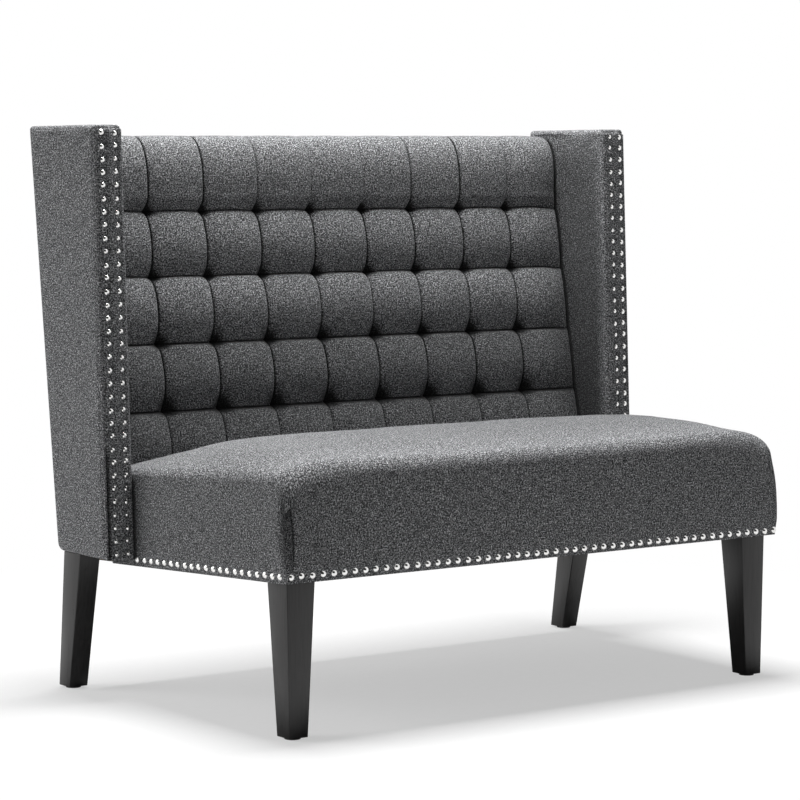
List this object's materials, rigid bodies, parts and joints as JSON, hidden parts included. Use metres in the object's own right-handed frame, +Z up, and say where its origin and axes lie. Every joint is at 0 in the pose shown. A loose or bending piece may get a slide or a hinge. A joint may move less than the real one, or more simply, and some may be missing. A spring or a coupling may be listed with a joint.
{
  "type": "settee",
  "caption": "Upholstered settee with flat upright side wings, a leaning back tufted on a square grid, a crowned seat, domed nail trim and tapered legs.",
  "frame": {"origin": "on the floor, under the middle of the settee's outline", "axes": "+X along the width, to the right of someone facing the settee; +Y from the seat's front to the back; +Z up"},
  "size_m": [1.1684, 0.705, 0.9652],
  "materials": {
    "upholstery": "charcoal heather linen-look weave",
    "padded_upholstery": "the same charcoal weave over wadding",
    "nails": "bright domed nickel",
    "leg_lacquer": "black satin lacquer",
    "frame_wood": "planed softwood",
    "plywood": "sanded plywood",
    "foam": "cream polyurethane foam",
    "black_cloth": "black non-woven cloth",
    "twine": "waxed twine with small toggles",
    "spring_steel": "oiled spring wire",
    "fastener_steel": "zinc-plated",
    "glide": "black nylon"
  },
  "bodies": {
    "root": {"seat_front_rail": "frame_wood", "seat_back_rail": "frame_wood", "seat_side_rail_left": "frame_wood", "seat_side_rail_right": "frame_wood", "seat_centre_rail": "frame_wood", "seat_corner_blocks": "frame_wood", "seat_springs": "spring_steel", "spring_clips": "fastener_steel", "deck_cloth": "black_cloth", "seat_foam": "foam", "seat_cover": "upholstery", "seat_nails": "nails", "dust_cover": "black_cloth", "leg_front_left": "leg_lacquer", "leg_front_right": "leg_lacquer", "leg_rear_left": "leg_lacquer", "leg_rear_right": "leg_lacquer", "leg_bolts": "fastener_steel", "leg_inserts": "fastener_steel", "leg_glides": "glide", "back_post_left": "frame_wood", "back_post_right": "frame_wood", "back_top_rail": "frame_wood", "back_middle_rail": "frame_wood", "back_bottom_rail": "frame_wood", "tufting_panel": "plywood", "back_foam": "foam", "back_pad": "padded_upholstery", "tuft_ties": "twine", "rear_cover": "upholstery", "wing_core_left": "plywood", "wing_core_right": "plywood", "wing_padding_left": "foam", "wing_padding_right": "foam", "wing_cover_left": "upholstery", "wing_cover_right": "upholstery", "wing_band_left": "upholstery", "wing_band_right": "upholstery", "wing_nails_left": "nails", "wing_nails_right": "nails", "wing_bolts": "fastener_steel", "wing_washers": "fastener_steel", "wing_inserts": "fastener_steel"}
  },
  "joints": []
}
